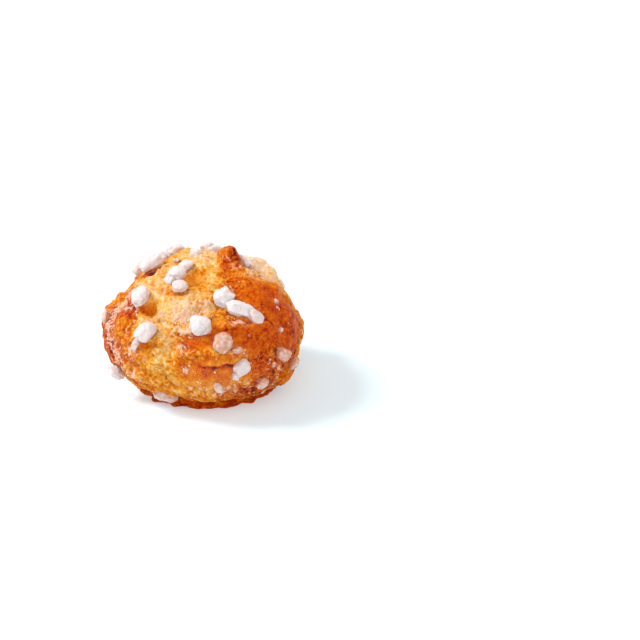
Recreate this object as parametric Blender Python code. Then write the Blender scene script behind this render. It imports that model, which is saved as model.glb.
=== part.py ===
"""A chouquette: a ball of choux pastry with a pinched tip and a torn, crinkled crust, with grains
of pearl sugar fused to it. One solid, standing on its flat base. Its sizes are in mm until a mesh
is made, which is in metres."""

import math
import random
from collections import namedtuple

import bmesh
import bpy
from mathutils import Matrix, Vector, noise

MM = 0.001

# The core is two half ellipsoids that meet at the belt, cut flat at the base.
BELT_RADIUS_X = 25.0
BELT_RADIUS_Y = 23.4
BELT_HEIGHT = 14.0
DOME_RISE = 18.0
UNDERSIDE_DROP = 15.3

# The foot that the puff was baked on: a ragged ring, a notch and a ledge above it, set a little aside.
FOOT_RADIUS_X = 18.4
FOOT_RADIUS_Y = 16.2
FOOT_HEIGHT = 3.2
FOOT_STEP = 1.0
FOOT_BASE_SHARE = 0.93
FOOT_FLAT_WITHIN = 0.4
FOOT_RAGGED = 1.8
FOOT_RAGGED_SPACING = 1.7
FOOT_ASIDE = 0.6
NOTCH_DEPTH = 0.6
LEDGE_RISE = 0.4

# The tip, left where the dough was cut off its nozzle: a blunt knob that is steeper to the right.
TIP_PLACE = (7.0, 16.2)
TIP_HEIGHT = 3.4
TIP_RADIUS = 3.3
TIP_LONG_SIDE = 0.25
TIP_UNEVEN = (0.2, 0.5)
TIP_BLUNTNESS = 3.6
TIP_FLARE = 1.1
TIP_LEAN = (-0.4, -0.3)
SHOULDER_HEIGHT = 1.2
SHOULDER_RADIUS = 9.0

# Layers of relief that follow a rule: (height, spacing). Wrinkles are mostly left out of calm skin.
SWELL = (1.1, 17.0)
LUMP = (0.9, 6.5)
WRINKLE = (0.8, 2.8)
CALM_PATCH = 13.0
CALM_OFFSET = (9.0, 2.0, 5.0)
CALM_RANGE = (-0.05, 0.3)
CALM_RIM = (0.2, 0.6)
WRINKLES_WHERE_CALM = 0.15

# The network of tears, where the skin split as the dough rose. They come in patches.
TEAR_SPACING = 9.5
TEAR_DEPTH = 1.3
TEAR_WIDTH = 0.26
TEAR_LIP = 0.35
TEAR_LIP_START = (0.16, 0.29)
TEAR_LIP_END = (0.34, 0.62)
TEAR_BEND = (0.45, 0.6)
TEAR_PATCH = 15.0
TEAR_PATCH_OFFSET = (4.0, 0.0, 7.0)
TEAR_RANGE = (-0.35, 0.3)
TEARS_IN_FRONT = 0.2

# Edges rise over this width and fade in and out over this share of their run. Lobes, hollows, lines
# and edges wander by two layers of bends: (height, spacing).
EDGE_SOFTNESS = 0.4
EDGE_ENDS = 0.25
BENDS = ((0.9, 6.5), (0.6, 1.9))

# The front is laid out as seen from one point. A place on it is (across, up), from the belt's middle,
# on the plane through that middle that faces the point.
VIEW_RISE = math.radians(25)
VIEW_DISTANCE = 439.0
VIEW_ASIDE = 28.6
VIEW_ABOVE = 2.5
FRONT_FACING = (-0.15, 0.15)
AIM_STEPS = 10
AIM_SHARE = 0.7

Swelling = namedtuple("Swelling", "across up wide high rise")
Calm = namedtuple("Calm", "across up wide high")
Line = namedtuple("Line", "places width rise")
Edge = namedtuple("Edge", "places rise reach")
Grain = namedtuple("Grain", "across up length width turn lift", defaults=(0.0,))

# Lobes and hollows of the front: place, spread across and up, and rise (a hollow's is negative).
SWELLINGS = (
    Swelling(15.5, 7.5, 7.0, 6.0, 1.3),
    Swelling(15.5, 14.5, 5.5, 3.0, 1.9),
    Swelling(7.0, 14.8, 2.2, 2.4, 1.4),
    Swelling(11.7, -1.0, 4.6, 3.2, 0.9),
    Swelling(-5.5, 4.5, 5.5, 4.0, 0.9),
    Swelling(-20.5, 2.0, 4.0, 6.0, 0.7),
    Swelling(-2.5, 18.5, 4.0, 2.2, 0.9),
    Swelling(-11.5, 17.0, 4.0, 3.0, -1.9),
    Swelling(2.5, -11.0, 10.0, 3.4, 1.0),
    Swelling(16.5, -9.0, 5.0, 5.0, 1.6),
    Swelling(19.3, -11.2, 3.2, 3.0, 2.0),
    Swelling(-13.6, 5.9, 1.6, 2.4, -1.5),
    Swelling(-2.5, 13.0, 2.0, 2.4, -1.9),
    Swelling(-14.6, -3.8, 2.3, 1.2, -1.6),
    Swelling(2.1, 10.3, 1.0, 1.1, -0.8),
    Swelling(-10.1, 15.4, 1.2, 0.8, -0.6),
    Swelling(-13.9, -6.4, 1.0, 1.3, -1.0),
    Swelling(-12.2, -10.0, 0.9, 1.3, -1.0),
    Swelling(3.0, 1.0, 1.6, 2.4, -0.6),
    Swelling(-22.2, 8.2, 3.0, 3.0, -3.2),
    Swelling(-20.0, 11.2, 4.5, 3.4, -2.4),
    Swelling(22.6, 8.5, 5.0, 7.0, -2.8),
)

# Where the skin of the front is smooth: its right lobe, its belly and the floors of its hollows.
CALM_PLACES = (
    Calm(15.5, 5.0, 7.5, 8.0),
    Calm(11.0, -2.5, 5.5, 3.5),
    Calm(1.0, -3.0, 5.0, 1.8),
    Calm(3.0, -10.5, 10.0, 4.0),
    Calm(3.0, 0.8, 1.8, 2.6),
    Calm(-13.6, 5.9, 1.8, 2.0),
    Calm(-2.5, 13.0, 2.0, 2.4),
    Calm(-14.6, -3.8, 2.3, 1.2),
    Calm(20.0, -11.0, 2.5, 3.0),
    Calm(14.5, 15.5, 5.0, 3.0),
    Calm(21.5, 1.0, 4.0, 7.0),
)

# Folds and splits of the front: each a run of places, its width and its rise (a split's is negative).
LINES = (
    Line(((-4.0, -6.0), (-1.0, -5.9), (1.5, -5.8), (4.8, -6.2), (8.8, -4.9)), 0.6, 0.6),
    Line(((-12.5, 11.0), (-11.4, 7.9), (-12.6, 3.5), (-10.8, 0.0), (-9.2, -4.1)), 1.9, -1.2),
    Line(((-9.2, -4.1), (-11.0, -7.7), (-10.2, -11.6)), 2.0, -1.3),
    Line(((-14.5, 13.2), (-13.0, 14.1), (-11.4, 15.3)), 0.5, -1.4),
    Line(((5.0, 12.5), (3.4, 9.0), (2.6, 3.0)), 1.6, -0.6),
    Line(((9.6, 18.4), (13.5, 17.4), (17.5, 14.4)), 0.8, 0.5),
    Line(((-23.0, -5.5), (-18.5, -10.3), (-13.0, -13.2), (-6.0, -15.0), (2.0, -15.7)), 0.8, 0.5),
    Line(((-20.0, -6.5), (-16.0, -9.8), (-12.5, -11.8)), 0.7, -0.5),
    Line(((-15.6, 4.2), (-13.0, 3.3), (-11.0, 3.7), (-9.2, 2.6)), 0.5, 0.7),
    Line(((-14.6, 2.0), (-12.4, 1.1), (-10.2, 1.7)), 0.5, 0.6),
    Line(((-13.6, 11.4), (-12.0, 9.0), (-11.2, 6.4), (-10.4, 4.2)), 0.6, 0.7),
    Line(((-10.6, -2.4), (-9.4, -5.0), (-10.4, -8.0), (-9.2, -11.0)), 0.6, 0.7),
    Line(((-13.0, -5.0), (-11.8, -7.4), (-12.4, -8.8)), 0.5, 0.6),
    Line(((-12.8, 12.2), (-9.8, 13.8), (-7.4, 15.8)), 0.5, 0.5),
)

# Edges of the front, where the skin left of a run of places laps over the rest: the rise and its reach.
EDGES = (
    Edge(((-12.6, 11.4), (-10.4, 10.5), (-8.7, 9.0), (-7.1, 8.4), (-4.7, 9.4), (-3.0, 10.8)), 1.2, 2.6),
    Edge(((-9.8, -1.9), (-7.6, -1.3), (-3.5, -1.1), (0.8, -0.9), (3.6, -1.9)), 0.7, 3.0),
    Edge(((17.2, 0.2), (15.4, 1.8), (12.8, 2.0), (10.5, 1.3), (7.5, 2.2), (4.0, 2.4)), 0.6, 3.6),
    Edge(((-3.0, -8.2), (1.4, -8.6), (4.0, -8.4), (6.7, -8.0), (9.5, -7.2), (14.0, -6.1)), 0.45, 2.6),
    Edge(((19.5, 8.6), (16.5, 10.6), (13.5, 11.8), (11.0, 13.6), (8.8, 15.2)), 0.9, 3.6),
    Edge(((13.5, -14.8), (16.0, -12.6), (17.4, -9.8), (17.2, -6.5)), 0.8, 3.0),
)

# Sugar grains of the front: place, size, turn from level in degrees, and lift off the crust.
FRONT_GRAINS = (
    Grain(-15.4, 15.7, 5.0, 4.6, 55, 0.4),
    Grain(-12.8, 15.9, 5.8, 3.8, 35, 0.3),
    Grain(-12.9, 18.6, 6.2, 5.4, 20, 1.0),
    Grain(-9.6, 18.2, 6.2, 4.4, 25, 0.3),
    Grain(-7.3, 20.2, 4.6, 3.8, 10, 0.4),
    Grain(-2.1, 19.1, 3.2, 2.9, 60),
    Grain(0.8, 21.3, 3.6, 3.0, 5, 0.4),
    Grain(3.0, 21.8, 3.8, 3.4, 25, 0.1),
    Grain(-4.6, 15.9, 4.2, 2.9, 55),
    Grain(-6.9, 13.8, 4.8, 3.7, 35),
    Grain(-8.4, 12.5, 2.8, 2.4, 60),
    Grain(-6.0, 10.9, 3.8, 3.0, -10),
    Grain(-15.8, 8.4, 5.2, 3.9, 80),
    Grain(-14.6, -0.4, 5.2, 4.2, 40),
    Grain(-16.9, -3.3, 3.6, 1.8, 65),
    Grain(-1.1, 1.2, 5.0, 4.6, 15),
    Grain(4.9, 8.1, 5.0, 4.4, 60),
    Grain(8.7, 5.2, 7.0, 3.4, -8),
    Grain(12.6, 3.5, 4.2, 2.9, -30),
    Grain(4.6, -3.2, 4.9, 4.3, 80),
    Grain(9.2, -9.2, 4.0, 3.4, 30),
    Grain(8.0, -11.2, 2.6, 2.0, 65),
    Grain(3.5, -14.2, 3.7, 2.0, -75),
    Grain(14.4, -13.2, 3.4, 2.4, 35),
    Grain(19.5, -6.0, 4.0, 3.1, -35),
    Grain(22.2, -8.2, 3.6, 2.4, -30, -0.1),
    Grain(-9.6, -16.2, 5.8, 3.2, -14, 0.2),
    Grain(-21.7, -10.4, 5.0, 3.6, -60, 0.3),
    Grain(-24.4, 3.2, 3.4, 2.2, 80, 0.2),
    Grain(10.1, 16.9, 5.6, 2.8, -58, 0.3),
    Grain(-6.8, 17.2, 1.5, 1.2, 0),
    Grain(-4.6, -10.0, 1.3, 1.1, 0),
    Grain(18.9, 0.1, 1.3, 1.1, 0),
    Grain(17.8, 7.1, 1.3, 1.1, 0),
    Grain(8.2, -5.0, 2.2, 1.4, 10),
)

# Sugar grains elsewhere, strewn from above: thick on the dome and thin below the belt, some in pairs.
STREWN_GRAINS = 34
STREWN_LENGTH = (3.0, 6.0)
STREWN_HEIGHTS = (4.0, 17.0)
STREWN_GAP = 1.6
STREWN_SEEN = -0.45
PAIRED_SHARE = 0.35
PAIRED_REACH = 0.6
PAIRED_SIZE = (0.6, 0.85)
PAIRED_TURN = 50
PAIRED_LIFT = -0.3
NARROWNESS = (0.6, 0.9)

# A grain is a rounded block with lumps, sunk a little into the crust.
GRAIN_THICKNESS = 0.8
GRAIN_BLOCKINESS = 2.5
GRAIN_LUMPS = (0.26, 0.75)
GRAIN_SUNK = 0.24
LARGE_GRAIN = 3.5
KIND_STEP = 3.7
SEED = 20
NOISE_SEED = 8
noise.seed_set(NOISE_SEED)

CRUST_LEVELS = 5
TIP_FINER_WITHIN = 6.5
LARGE_GRAIN_LEVELS = 2
SMALL_GRAIN_LEVELS = 1
SHARP_ANGLE = math.radians(45)

CRUST_COLOUR = (0.70, 0.30, 0.06, 1.0)
CRUST_ROUGHNESS = 0.45

BELT_MIDDLE = Vector((0, 0, BELT_HEIGHT))


def eased(low, high, value):
    """0 below low and 1 above high, with a smooth rise between them."""
    share = min(max((value - low) / (high - low), 0.0), 1.0)
    return share * share * (3.0 - 2.0 * share)


def core_radii(above):
    return Vector((BELT_RADIUS_X, BELT_RADIUS_Y, DOME_RISE if above else UNDERSIDE_DROP))


def core_point(way):
    """The core's surface along a unit vector from the belt's middle."""
    return BELT_MIDDLE + way * core_radii(way.z > 0)


def core_normal(point):
    off = point - BELT_MIDDLE
    radii = core_radii(off.z > 0)
    return Vector([size / radius**2 for size, radius in zip(off, radii)]).normalized()


def view_axes():
    """(viewpoint, across, up, ahead) of the front's layout."""
    ahead = Vector((0, math.cos(VIEW_RISE), -math.sin(VIEW_RISE)))
    across = Vector((1, 0, 0))
    up = across.cross(ahead)
    viewpoint = BELT_MIDDLE + across * VIEW_ASIDE + up * VIEW_ABOVE - ahead * VIEW_DISTANCE
    return viewpoint, across, up, ahead


VIEWPOINT, ACROSS, UP, AHEAD = view_axes()


def way_seen_at(across, up):
    """The core's direction that is seen at a place of the front, or the nearest if it is off the edge."""
    ray = (BELT_MIDDLE + ACROSS * across + UP * up - VIEWPOINT).normalized()
    for above in (True, False):
        radii = core_radii(above)
        start = Vector([size / radius for size, radius in zip(VIEWPOINT - BELT_MIDDLE, radii)])
        step = Vector([size / radius for size, radius in zip(ray, radii)])
        nearest = -start.dot(step) / step.length_squared
        miss = (start + step * nearest).length_squared
        back = math.sqrt(max(1.0 - miss, 0.0)) / step.length
        way = (start + step * (nearest - back)).normalized()
        if way.z > 0:
            break
    return way


def place_of(point):
    """The place (across, up) of the front at which a point is seen."""
    off = point - VIEWPOINT
    on_plane = VIEWPOINT + off * VIEW_DISTANCE / off.dot(AHEAD) - BELT_MIDDLE
    return Vector((on_plane.dot(ACROSS), on_plane.dot(UP)))


def right_of(normal):
    """A unit vector square to the normal and as near to +X as it can be."""
    return (Vector((1, 0, 0)) - normal * normal.x).normalized()


def placed(patch):
    """(centre, axis across, axis up, patch) on the core."""
    centre = core_point(way_seen_at(patch.across, patch.up))
    normal = core_normal(centre)
    right = right_of(normal)
    return centre, right, normal.cross(right), patch


PLACED_SWELLINGS = [placed(each) for each in SWELLINGS]
PLACED_CALMS = [placed(each) for each in CALM_PLACES]
PLACED_LINES = [([core_point(way_seen_at(*place)) for place in line.places], line) for line in LINES]
PLACED_EDGES = [([core_point(way_seen_at(*place)) for place in edge.places], edge) for edge in EDGES]
TIP_FOOT = core_point(way_seen_at(*TIP_PLACE))


def beside(point, places, normal):
    """(distance from a run of places, share of the run passed); the distance is + to the run's left."""
    best = None
    for number, (start, end) in enumerate(zip(places, places[1:])):
        along = end - start
        share = min(max((point - start).dot(along) / along.length_squared, 0.0), 1.0)
        off = point - start - along * share
        if best is None or off.length < best[0].length:
            best = (off, along, number + share)
    off, along, passed = best
    left = along.cross(off).dot(normal) > 0
    return (off.length if left else -off.length), passed / (len(places) - 1)


def within(point, placed_patch):
    """1 at the centre of a placed patch, falling to 0 away from it."""
    centre, right, upward, patch = placed_patch
    off = point - centre
    right_off = off.dot(right)
    up_off = off.dot(upward)
    deep_off = off.length_squared - right_off**2 - up_off**2
    spread = (right_off / patch.wide) ** 2 + (up_off / patch.high) ** 2
    return math.exp(-spread - deep_off / (patch.wide * patch.high))


def facing_view(point):
    """How squarely the core at a point faces the viewpoint."""
    return core_normal(point).dot((VIEWPOINT - point).normalized())


def calm_share(point, facing):
    """1 where the skin is smooth, 0 where it is wrinkled."""
    in_front = min(sum(eased(*CALM_RIM, within(point, each)) for each in PLACED_CALMS), 1.0)
    by_rule = eased(*CALM_RANGE, noise.noise(point / CALM_PATCH + Vector(CALM_OFFSET)))
    front = eased(*FRONT_FACING, facing)
    return in_front * front + by_rule * (1.0 - front)


def tear(point, facing):
    """(how far in a tear the point lies, how far on its lip), each from 0 to 1."""
    height, spacing = TEAR_BEND
    place = point / TEAR_SPACING
    distances, _ = noise.voronoi(place + noise.noise_vector(place / spacing) * height)
    gap = distances[1] - distances[0]
    inside = 1.0 - eased(0.0, TEAR_WIDTH, gap)
    lip = eased(*TEAR_LIP_START, gap) - eased(*TEAR_LIP_END, gap)
    strength = eased(*TEAR_RANGE, noise.noise(point / TEAR_PATCH + Vector(TEAR_PATCH_OFFSET)))
    strength *= eased(FOOT_HEIGHT, BELT_HEIGHT, point.z)
    strength *= 1.0 - (1.0 - TEARS_IN_FRONT) * eased(*FRONT_FACING, facing)
    return inside * strength, lip * strength


Ground = namedtuple("Ground", "core normal facing bent calm inside lip lines edges")


def ground_at(core):
    """What lies at a point of the core: how calm it is, its tear, and its share of each line and edge."""
    normal = core_normal(core)
    facing = facing_view(core)
    bent = core + sum((noise.noise_vector(core / spacing) * height for height, spacing in BENDS), Vector())
    lines = []
    for places, line in PLACED_LINES:
        off, _ = beside(bent, places, normal)
        lines.append((math.exp(-((off / line.width) ** 2)), line))
    edges = []
    for places, edge in PLACED_EDGES:
        off, passed = beside(bent, places, normal)
        kept = eased(0.0, EDGE_ENDS, passed) * (1.0 - eased(1.0 - EDGE_ENDS, 1.0, passed))
        edges.append((off, kept, edge))
    return Ground(core, normal, facing, bent, calm_share(core, facing), *tear(core, facing), lines, edges)


def relief(ground):
    """Rise of the lobes, hollows, folds, edges, tears, lumps and wrinkles."""
    core = ground.core
    rise = sum(each[-1].rise * within(ground.bent, each) for each in PLACED_SWELLINGS)
    rise += sum(line.rise * share for share, line in ground.lines)
    for off, kept, edge in ground.edges:
        side = eased(-EDGE_SOFTNESS, EDGE_SOFTNESS, off)
        rise += edge.rise * kept * side * math.exp(-((max(off, 0.0) / edge.reach) ** 2))
    rise += TEAR_LIP * ground.lip - TEAR_DEPTH * ground.inside
    wrinkled = 1.0 - (1.0 - WRINKLES_WHERE_CALM) * ground.calm
    for (height, spacing), strength in ((SWELL, 1.0), (LUMP, 1.0), (WRINKLE, wrinkled)):
        rise += strength * height * noise.noise(core / spacing + Vector((spacing, 0.0, 0.0)))
    return rise


def tip_share(point):
    """1 at the middle of the tip, 0 outside it."""
    off = (point - TIP_FOOT).to_2d()
    turn = math.atan2(off.y, off.x)
    uneven, spacing = TIP_UNEVEN
    radius = TIP_RADIUS * (1.0 - TIP_LONG_SIDE * math.cos(turn))
    radius *= 1.0 + uneven * noise.noise(Vector((math.cos(turn), math.sin(turn), 0.0)) / spacing)
    inward = max(1.0 - (off.length / radius) ** TIP_BLUNTNESS, 0.0)
    return inward**TIP_FLARE * eased(BELT_HEIGHT, BELT_HEIGHT + DOME_RISE / 2, point.z)


def tipped(point):
    """The point lifted by the shoulder and the tip."""
    share = tip_share(point)
    off = (point - TIP_FOOT).to_2d().length
    shoulder = SHOULDER_HEIGHT * math.exp(-((off / SHOULDER_RADIUS) ** 2))
    shoulder *= eased(BELT_HEIGHT, BELT_HEIGHT + DOME_RISE / 2, point.z)
    return point + Vector((TIP_LEAN[0] * share, TIP_LEAN[1] * share, shoulder + TIP_HEIGHT * share))


def footed(point):
    """The point moved onto the foot where it lies under the ledge, and flattened at the base."""
    ragged = noise.noise(point / FOOT_RAGGED_SPACING)
    top = FOOT_HEIGHT + ragged * FOOT_STEP / 2
    under = 1.0 - eased(top - FOOT_STEP, top, point.z)
    base_share = math.sqrt(1.0 - (BELT_HEIGHT / UNDERSIDE_DROP) ** 2)
    off = Vector((point.x / BELT_RADIUS_X, point.y / BELT_RADIUS_Y)) / base_share
    reach = min(off.length, 1.0) * FOOT_BASE_SHARE
    reach += (1.0 - FOOT_BASE_SHARE) * eased(1.0, 1.0 / base_share, off.length)
    reach += FOOT_RAGGED / FOOT_RADIUS_X * ragged * eased(FOOT_FLAT_WITHIN, 1.0, off.length)
    if off.length > 0:
        off = off.normalized() * reach
    foot = Vector((off.x * FOOT_RADIUS_X, off.y * FOOT_RADIUS_Y))
    flat = point.to_2d()
    notch = math.exp(-(((point.z - top + FOOT_STEP) / FOOT_STEP) ** 2)) * eased(FOOT_FLAT_WITHIN, 1.0, reach)
    ledge = eased(top - FOOT_STEP, top, point.z) - eased(top, top + FOOT_STEP * 2, point.z)
    flat = flat.lerp(foot, under)
    flat += flat.normalized() * (LEDGE_RISE * ledge - NOTCH_DEPTH * notch)
    flat.x += FOOT_ASIDE * (1.0 - eased(0.0, BELT_HEIGHT, point.z))
    return Vector((flat.x, flat.y, max(point.z, 0.0)))


def raised(ground, more=0.0):
    """The crust's surface over a point of the core, with some finer relief if any. The base stays flat."""
    rise = (relief(ground) + more) * eased(0.0, FOOT_HEIGHT, ground.core.z)
    return footed(tipped(ground.core + ground.normal * rise))


def crust_point(way):
    """The crust's surface, in mm, along a unit vector from the belt's middle."""
    return raised(ground_at(core_point(way)))


def grain_lift(grain):
    """How far a grain's middle stands off the crust."""
    return grain.width * GRAIN_THICKNESS * (0.5 - GRAIN_SUNK) + grain.lift


def seat_of(grain):
    """The crust's point on which a grain of the front lies, so that its middle is seen at its place."""
    goal = Vector((grain.across, grain.up))
    aim = goal.copy()
    for _ in range(AIM_STEPS):
        point = crust_point(way_seen_at(*aim))
        aim += (goal - place_of(point + core_normal(point) * grain_lift(grain))) * AIM_SHARE
    return point


def grain_point(way, grain, kind):
    """A grain's surface, in mm from its middle, along a unit vector. X is its length and Z its thickness."""
    half = Vector((grain.length, grain.width, grain.width * GRAIN_THICKNESS)) / 2
    block = sum(abs(share) ** GRAIN_BLOCKINESS for share in way) ** (-1 / GRAIN_BLOCKINESS)
    height, spacing = GRAIN_LUMPS
    block *= 1.0 + height * noise.noise(way / spacing + kind)
    return way * half * block


def grain_axes(point, grain):
    """Where a grain that lies on the crust's point sits, and how it is turned, as one matrix in mm."""
    normal = core_normal(point)
    right = right_of(normal)
    turn = math.radians(grain.turn)
    along = right * math.cos(turn) + normal.cross(right) * math.sin(turn)
    axes = Matrix((along, normal.cross(along), normal)).transposed().to_4x4()
    return Matrix.Translation(point + normal * grain_lift(grain)) @ axes


def strewn_grains(draw):
    """(point, grain) of the grains that the front doesn't show, kept apart from each other."""
    laid = []
    while len(laid) < STREWN_GRAINS:
        turn = draw.uniform(0, math.tau)
        lift = draw.uniform(-1, 1)
        flat = math.sqrt(1 - lift * lift)
        way = Vector((math.cos(turn) * flat, math.sin(turn) * flat, lift))
        length = draw.uniform(*STREWN_LENGTH)
        grain = Grain(0, 0, length, length * draw.uniform(*NARROWNESS), draw.uniform(0, 360))
        chance = draw.random()
        paired = draw.random() < PAIRED_SHARE
        shrunk = draw.uniform(*PAIRED_SIZE)
        point = crust_point(way)
        seen = facing_view(point) > STREWN_SEEN
        reach = STREWN_GAP + length
        crowded = any((point - other).length < reach for other, _ in laid)
        if seen or crowded or chance > eased(*STREWN_HEIGHTS, point.z):
            continue
        laid.append((point, grain))
        if paired:
            along = grain_axes(point, grain).col[0].to_3d()
            next_to = (point + along * length * PAIRED_REACH - BELT_MIDDLE).normalized()
            turned = grain.turn + PAIRED_TURN
            smaller = Grain(0, 0, length * shrunk, grain.width * shrunk, turned, PAIRED_LIFT)
            laid.append((crust_point(next_to), smaller))
    return laid


def all_grains():
    """(point, grain, kind) of every grain; the kind tells its lumps apart from the others'."""
    draw = random.Random(SEED)
    laid = [(seat_of(grain), grain) for grain in FRONT_GRAINS]
    laid += strewn_grains(draw)
    return [(point, grain, Vector((number * KIND_STEP, 0, 0))) for number, (point, grain) in enumerate(laid)]


def add_object(name, data):
    mesh = bpy.data.meshes.new(name)
    data.to_mesh(mesh)
    data.free()
    return bpy.data.objects.new(name, mesh)


def make_crust():
    """The puff: an icosphere, finer round the tip, with each vertex set on the crust."""
    data = bmesh.new()
    bmesh.ops.create_icosphere(data, subdivisions=CRUST_LEVELS, radius=1.0)
    near_tip = [
        edge
        for edge in data.edges
        if all((core_point(vertex.co) - TIP_FOOT).length < TIP_FINER_WITHIN for vertex in edge.verts)
    ]
    bmesh.ops.subdivide_edges(data, edges=near_tip, cuts=1, use_grid_fill=False)
    bmesh.ops.triangulate(data, faces=data.faces)
    for vertex in data.verts:
        vertex.co = crust_point(vertex.co.normalized()) * MM
    return add_object("chouquette", data)


def make_grain(point, grain, kind):
    """A grain of sugar, lying on the crust's point."""
    data = bmesh.new()
    levels = LARGE_GRAIN_LEVELS if grain.length > LARGE_GRAIN else SMALL_GRAIN_LEVELS
    bmesh.ops.create_icosphere(data, subdivisions=levels, radius=1.0)
    axes = grain_axes(point, grain)
    for vertex in data.verts:
        vertex.co = axes @ grain_point(vertex.co.normalized(), grain, kind) * MM
    return add_object("grain", data)


def fuse(body, pieces):
    """Joins the pieces to the body with one Boolean union, then removes them."""
    fused = bpy.data.collections.new("grains")
    bpy.context.scene.collection.children.link(fused)
    for piece in pieces:
        fused.objects.link(piece)
    union = body.modifiers.new("fuse", "BOOLEAN")
    union.operation = "UNION"
    union.operand_type = "COLLECTION"
    union.collection = fused
    union.solver = "EXACT"
    bpy.context.view_layer.objects.active = body
    bpy.ops.object.modifier_apply(modifier=union.name)
    for piece in pieces:
        bpy.data.objects.remove(piece)
    bpy.data.collections.remove(fused)


def crust_material():
    material = bpy.data.materials.new("crust")
    material.use_nodes = True
    shader = material.node_tree.nodes["Principled BSDF"]
    shader.inputs["Base Color"].default_value = CRUST_COLOUR
    shader.inputs["Roughness"].default_value = CRUST_ROUGHNESS
    shader.inputs["Metallic"].default_value = 0.0
    return material


def clear_scene():
    for leftover in list(bpy.data.objects):
        bpy.data.objects.remove(leftover)


def main():
    clear_scene()
    parts = bpy.data.collections.new("chouquette")
    bpy.context.scene.collection.children.link(parts)
    puff = make_crust()
    parts.objects.link(puff)
    puff.data.materials.append(crust_material())
    fuse(puff, [make_grain(*laid) for laid in all_grains()])
    puff.data.shade_smooth()
    puff.data.set_sharp_from_angle(angle=SHARP_ANGLE)


main()
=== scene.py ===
"""The looks of a chouquette: its fine crust, its grains of pearl sugar, the crystals strewn between
them, and a plain pale studio. Lengths are in mm until a mesh is made, and the frame is in metres."""

import math
import random
from collections import namedtuple

import bmesh
import bpy
from mathutils import Matrix, Vector, noise
from mathutils.kdtree import KDTree


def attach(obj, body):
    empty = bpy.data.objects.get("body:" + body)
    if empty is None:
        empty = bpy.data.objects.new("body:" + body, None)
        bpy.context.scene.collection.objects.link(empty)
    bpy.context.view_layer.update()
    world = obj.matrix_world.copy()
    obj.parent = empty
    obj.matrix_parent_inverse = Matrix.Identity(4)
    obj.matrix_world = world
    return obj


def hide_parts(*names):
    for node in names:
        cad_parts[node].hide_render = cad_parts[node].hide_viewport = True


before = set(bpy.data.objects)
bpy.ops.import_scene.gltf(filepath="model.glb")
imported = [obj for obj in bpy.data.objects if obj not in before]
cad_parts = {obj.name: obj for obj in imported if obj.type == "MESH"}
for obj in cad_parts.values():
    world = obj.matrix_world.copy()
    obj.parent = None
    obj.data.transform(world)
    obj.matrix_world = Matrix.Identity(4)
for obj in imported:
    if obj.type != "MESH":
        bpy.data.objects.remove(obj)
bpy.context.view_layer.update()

MM = 0.001

# The core is two half ellipsoids that meet at the belt, cut flat at the base.
BELT_RADIUS_X = 25.0
BELT_RADIUS_Y = 23.4
BELT_HEIGHT = 14.0
DOME_RISE = 18.0
UNDERSIDE_DROP = 15.3

# The foot that the puff was baked on: a ragged ring, a notch and a ledge above it, set a little aside.
FOOT_RADIUS_X = 18.4
FOOT_RADIUS_Y = 16.2
FOOT_HEIGHT = 3.2
FOOT_STEP = 1.0
FOOT_BASE_SHARE = 0.93
FOOT_FLAT_WITHIN = 0.4
FOOT_RAGGED = 1.8
FOOT_RAGGED_SPACING = 1.7
FOOT_ASIDE = 0.6
NOTCH_DEPTH = 0.6
LEDGE_RISE = 0.4

# The tip, left where the dough was cut off its nozzle: a blunt knob that is steeper to the right.
TIP_PLACE = (7.0, 16.2)
TIP_HEIGHT = 3.4
TIP_RADIUS = 3.3
TIP_LONG_SIDE = 0.25
TIP_UNEVEN = (0.2, 0.5)
TIP_BLUNTNESS = 3.6
TIP_FLARE = 1.1
TIP_LEAN = (-0.4, -0.3)
SHOULDER_HEIGHT = 1.2
SHOULDER_RADIUS = 9.0

# Layers of relief that follow a rule: (height, spacing). Wrinkles are mostly left out of calm skin.
SWELL = (1.1, 17.0)
LUMP = (0.9, 6.5)
WRINKLE = (0.8, 2.8)
CALM_PATCH = 13.0
CALM_OFFSET = (9.0, 2.0, 5.0)
CALM_RANGE = (-0.05, 0.3)
CALM_RIM = (0.2, 0.6)
WRINKLES_WHERE_CALM = 0.15

# The network of tears, where the skin split as the dough rose. They come in patches.
TEAR_SPACING = 9.5
TEAR_DEPTH = 1.3
TEAR_WIDTH = 0.26
TEAR_LIP = 0.35
TEAR_LIP_START = (0.16, 0.29)
TEAR_LIP_END = (0.34, 0.62)
TEAR_BEND = (0.45, 0.6)
TEAR_PATCH = 15.0
TEAR_PATCH_OFFSET = (4.0, 0.0, 7.0)
TEAR_RANGE = (-0.35, 0.3)
TEARS_IN_FRONT = 0.2

# Edges rise over this width and fade in and out over this share of their run. Lobes, hollows, lines
# and edges wander by two layers of bends: (height, spacing).
EDGE_SOFTNESS = 0.4
EDGE_ENDS = 0.25
BENDS = ((0.9, 6.5), (0.6, 1.9))

# The front is laid out as seen from one point. A place on it is (across, up), from the belt's middle,
# on the plane through that middle that faces the point.
VIEW_RISE = math.radians(25)
VIEW_DISTANCE = 439.0
VIEW_ASIDE = 28.6
VIEW_ABOVE = 2.5
FRONT_FACING = (-0.15, 0.15)
AIM_STEPS = 10
AIM_SHARE = 0.7

Swelling = namedtuple("Swelling", "across up wide high rise")
Calm = namedtuple("Calm", "across up wide high")
Line = namedtuple("Line", "places width rise")
Edge = namedtuple("Edge", "places rise reach")
Grain = namedtuple("Grain", "across up length width turn lift melt", defaults=(0.0, 0.0))
Tone = namedtuple("Tone", "across up wide high bake")
Dusting = namedtuple("Dusting", "across up wide high amount")

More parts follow.
